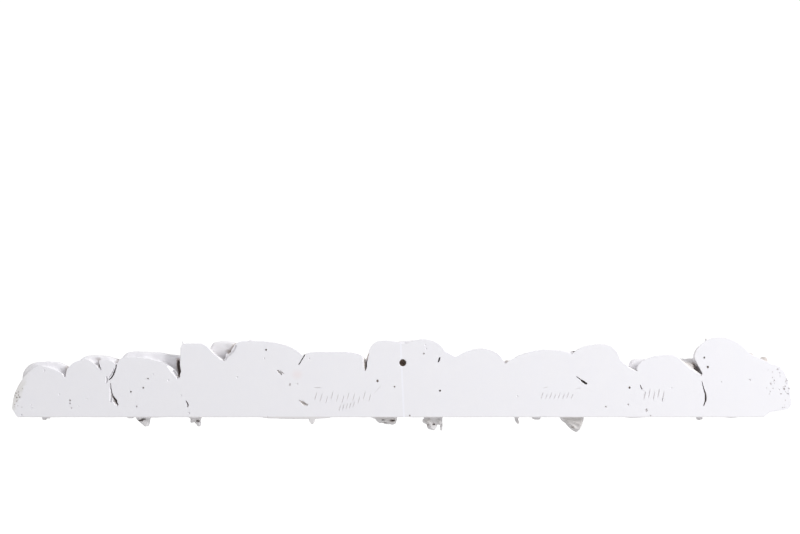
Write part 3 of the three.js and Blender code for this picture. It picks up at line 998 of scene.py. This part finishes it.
    def _mark_crevices(self, mesh: bpy.types.Mesh) -> None:
        """Notes at each corner how much darker the cracks, sunk bubbles, lumps, hollows, pits and scratches are
        coloured, for grime and painted shade.
        """
        count = len(mesh.vertices)
        points = np.empty(count * 3)
        mesh.vertices.foreach_get("co", points)
        points = points.reshape(-1, 3)
        dirt_and_shade = np.zeros(count)
        inside = ramp(points[:, 1], 0.0006, 0.003) * ramp(points[:, 1], 0.036, 0.03)
        for crack in CRACKS:
            for point, _, width in self._stations(crack.route):
                reach = np.hypot(points[:, 0] - point.x, points[:, 2] - point.z)
                near = ramp(reach, width / 2 + 0.0014, width / 2 + 0.0005)
                dirt_and_shade = np.maximum(dirt_and_shade, crack.dirt_and_shade * inside * near)
        for bubble in BUBBLES:
            if bubble.sunk > 0.4:
                place = BACK.at(bubble.across, bubble.up)
                reach = np.hypot(points[:, 0] - place.x, points[:, 2] - place.z)
                dirt_and_shade = np.maximum(dirt_and_shade, inside * ramp(reach, 0.004, 0.003))
        for lump in HOLLOWS + LUMPS:
            middle = BACK.behind(lump.across, lump.up, lump.deep)
            reach = np.linalg.norm((points - middle) / (np.array(lump.size) * MM), axis=1)
            dirt_and_shade = np.maximum(dirt_and_shade, lump.dirt_and_shade * ramp(points[:, 1], 0.0003, 0.002) * ramp(reach, 1.5, 0.9))
        for place, radius in self._margin_pits():
            reach = np.linalg.norm(points - place, axis=1)
            sunk = ramp(points[:, 1], 0.0001, 0.0005)
            dirt_and_shade = np.maximum(dirt_and_shade, self.pit_dirt_and_shade * sunk * ramp(reach, radius * 1.6, radius))
        for stroke in self._strokes():
            start, end = BACK.at(*stroke.start), BACK.at(*stroke.end)
            along = (end - start).normalized()
            away = points - start
            walked = np.clip(away @ along, 0, (end - start).length)
            reach = np.linalg.norm(away - walked[:, None] * along, axis=1)
            sunk = ramp(points[:, 1], 0.0001, 0.0005)
            dirt_and_shade = np.maximum(dirt_and_shade, self.stroke_dirt_and_shade * sunk * ramp(reach, 0.0016, 0.001))
        mesh.attributes.new("crevice_dirt_and_shade", "FLOAT", "POINT").data.foreach_set("value", dirt_and_shade)

    def _shade(self, cast: bpy.types.Object) -> None:
        """Marks the grime and painted shade in the crevices, rounds the shading and puts the finish on."""
        mesh = cast.data
        self._mark_crevices(mesh)
        mesh.materials.clear()
        mesh.materials.append(self.finish.make())
        mesh.shade_smooth()
        mesh.set_sharp_from_angle(angle=math.radians(40))
        bm = bmesh.new()
        bm.from_mesh(mesh)
        for edge in bm.edges:
            scraped = [face.normal.y < self.scraped_normal for face in edge.link_faces]
            edge.smooth = edge.smooth and len(set(scraped)) == 1
        bm.to_mesh(mesh)
        bm.free()


@dataclass
class FixingScrew:
    """The countersunk screw: a turned head with a crossed slot, and a ribbed shank."""

    finish: BronzedSteelFinish = field(default_factory=BronzedSteelFinish)
    sides: int = 48

    def build(self) -> bpy.types.Object:
        """Builds and dresses the screw.

        Returns:
            The finished piece.
        """
        low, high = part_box(SCREW_NODE)
        middle = (low + high) / 2
        radius = (high.x - low.x) / 2
        bm = bmesh.new()
        profile = self._profile(radius, low.y, high.y)
        verts = [bm.verts.new((middle.x + r, y, middle.z)) for r, y in profile]
        edges = [bm.edges.new(pair) for pair in zip(verts, verts[1:])]
        bmesh.ops.spin(
            bm, geom=verts + edges, cent=(middle.x, 0, middle.z), axis=(0, 1, 0),
            angle=2 * math.pi, steps=self.sides, use_merge=True,
        )
        bmesh.ops.remove_doubles(bm, verts=bm.verts, dist=1e-6)
        bmesh.ops.recalc_face_normals(bm, faces=bm.faces)
        screw = new_object("countersunk_screw", bm)
        cut(screw, self._slot_tool(middle, radius, low.y))
        screw.data.materials.clear()
        screw.data.materials.append(self.finish.make())
        screw.data.shade_smooth()
        screw.data.set_sharp_from_angle(angle=math.radians(30))
        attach(screw, BODY)
        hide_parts(SCREW_NODE)
        return screw

    @staticmethod
    def _profile(radius: float, top: float, tip: float) -> list[tuple[float, float]]:
        """Radius and depth of the turned form, from the middle of the head to the tip."""
        shank = radius * 0.49
        points = [(0, top + 0.25 * MM), (radius * 0.5, top + 0.2 * MM), (radius * 0.88, top)]
        points += [(radius * 0.97, top + 0.1 * MM), (radius, top + 0.35 * MM), (radius, top + 0.5 * MM)]
        points += [(shank, top + 2.7 * MM), (shank, top + 6 * MM)]
        pitch = 1.6 * MM
        place = top + 6.5 * MM
        while place < tip - 6 * MM:
            points += [(shank * 0.72, place), (shank, place + pitch * 0.4)]
            place += pitch
        points += [(shank * 0.7, tip - 5 * MM), (0, tip)]
        return points

    @staticmethod
    def _slot_tool(middle: Vector, radius: float, top: float) -> bpy.types.Object:
        """A cross that narrows towards its foot."""
        bm = bmesh.new()
        half, thin, depth = radius * 0.56, radius * 0.14, 1.8 * MM
        for turn in (0, math.pi / 2):
            made = bmesh.ops.create_cube(bm, size=1.0)["verts"]
            for vert in made:
                narrow = 0.45 if vert.co.y > 0 else 1.0
                vert.co = Vector((vert.co.x * 2 * half * narrow, vert.co.y * 2 * depth, vert.co.z * 2 * thin * narrow))
            place = Matrix.Translation((middle.x, top, middle.z)) @ Matrix.Rotation(turn + 0.5, 4, "Y")
            bmesh.ops.transform(bm, matrix=place, verts=made)
        return new_object("slot_tool", bm)


@dataclass
class Studio:
    """White studio: camera, soft light from the upper right, bright surroundings and a pale floor."""

    lens: float = 85.0
    sensor: float = 36.0
    key_place: tuple[float, float, float] = (3.0, -1.6, 1.8)
    box_size: float = 1.6
    key_power: float = 122.0
    floor_drop: float = 1.25
    floor_radius: float = 30.0
    floor_glow: float = 0.6
    fill_place: tuple[float, float, float] = (-3.0, 1.5, 1.8)
    fill_power: float = 45.0

    def build(self) -> None:
        """Sets up everything that isn't part of the object."""
        self._camera()
        self._soft_box("key_box", self.key_place, self.key_power)
        self._soft_box("relief_box", self.fill_place, self.fill_power)
        self._world()
        self._floor()
        bpy.context.scene.view_settings.view_transform = "Standard"

    def _camera(self) -> None:
        """Looks level at the flat back from a little above it."""
        data = bpy.data.cameras.new("camera")
        data.lens = self.lens
        data.sensor_width = self.sensor
        camera = bpy.data.objects.new("camera", data)
        camera.location = EYE
        camera.rotation_euler = (math.pi / 2, 0, 0)
        bpy.context.scene.collection.objects.link(camera)
        bpy.context.scene.camera = camera

    def _soft_box(self, name: str, place: tuple[float, float, float], power: float) -> None:
        """Hangs one large round soft box that faces the object.

        Args:
            name: The light's name.
            place: Where it hangs, in metres.
            power: Its power in watts.
        """
        data = bpy.data.lights.new(name, "AREA")
        data.shape = "DISK"
        data.size = self.box_size
        data.energy = power
        box = bpy.data.objects.new(name, data)
        box.location = place
        box.rotation_euler = (-Vector(place)).to_track_quat("-Z", "Y").to_euler()
        bpy.context.scene.collection.objects.link(box)

    def _world(self) -> None:
        """Bright behind the object and above it, dimmer behind the camera and below."""
        world = bpy.data.worlds.new("white_studio")
        bpy.context.scene.world = world
        tree = Tree(world)
        place = tree.node("ShaderNodeTexCoord").outputs["Generated"]
        axes = tree.node("ShaderNodeSeparateXYZ", None, {0: place}).outputs
        behind, up = Value(tree, axes[1]), Value(tree, axes[2])
        light = tree.step(behind, 0.82, 0.95) * 0.7 + 0.37 + tree.step(up, 0.2, 1.0) * 0.3
        background = tree.node("ShaderNodeBackground", None, {"Color": gray(1.0), "Strength": light})
        tree.node("ShaderNodeOutputWorld", None, {"Surface": background.outputs[0]})

    def _floor(self) -> None:
        """A round pale floor well below the object, paler further out, where it also glows."""
        bm = bmesh.new()
        bmesh.ops.create_circle(
            bm, cap_ends=True, radius=self.floor_radius, segments=96,
            matrix=Matrix.Translation((0, 0, -self.floor_drop)),
        )
        floor = new_object("floor", bm)
        material = bpy.data.materials.new("pale_floor")
        tree = Tree(material)
        place = tree.node("ShaderNodeTexCoord").outputs["Object"]
        flat = tree.node("ShaderNodeVectorMath", {"operation": "MULTIPLY"}, {0: place, 1: (1, 1, 0)}).outputs[0]
        away = tree.value("ShaderNodeVectorMath", {"operation": "LENGTH"}, {0: flat}, "Value")
        far = tree.step(away, 1.0, 7.0)
        surface = tree.node("ShaderNodeBsdfPrincipled", None, {
            "Base Color": tree.mix(far, gray(0.55), gray(0.95)),
            "Roughness": 1.0,
            "Specular IOR Level": 0.0,
            "Emission Color": tree.mix(far, gray(0.0), gray(1.0)),
            "Emission Strength": self.floor_glow,
        })
        tree.node("ShaderNodeOutputMaterial", None, {"Surface": surface.outputs[0]})
        floor.data.materials.append(material)


def report(piece: bpy.types.Object) -> None:
    """Logs a finished piece with its size."""
    log.info("%s: %d faces", piece.name, len(piece.data.polygons))


def main() -> None:
    """Builds the studio and the two pieces, and logs their faces."""
    logging.basicConfig(level=logging.INFO, format="%(name)s: %(message)s")
    Studio().build()
    detail = Detail.FULL
    report(PlasterCast(detail).build())
    report(FixingScrew().build())


if __name__ == "__main__":
    main()
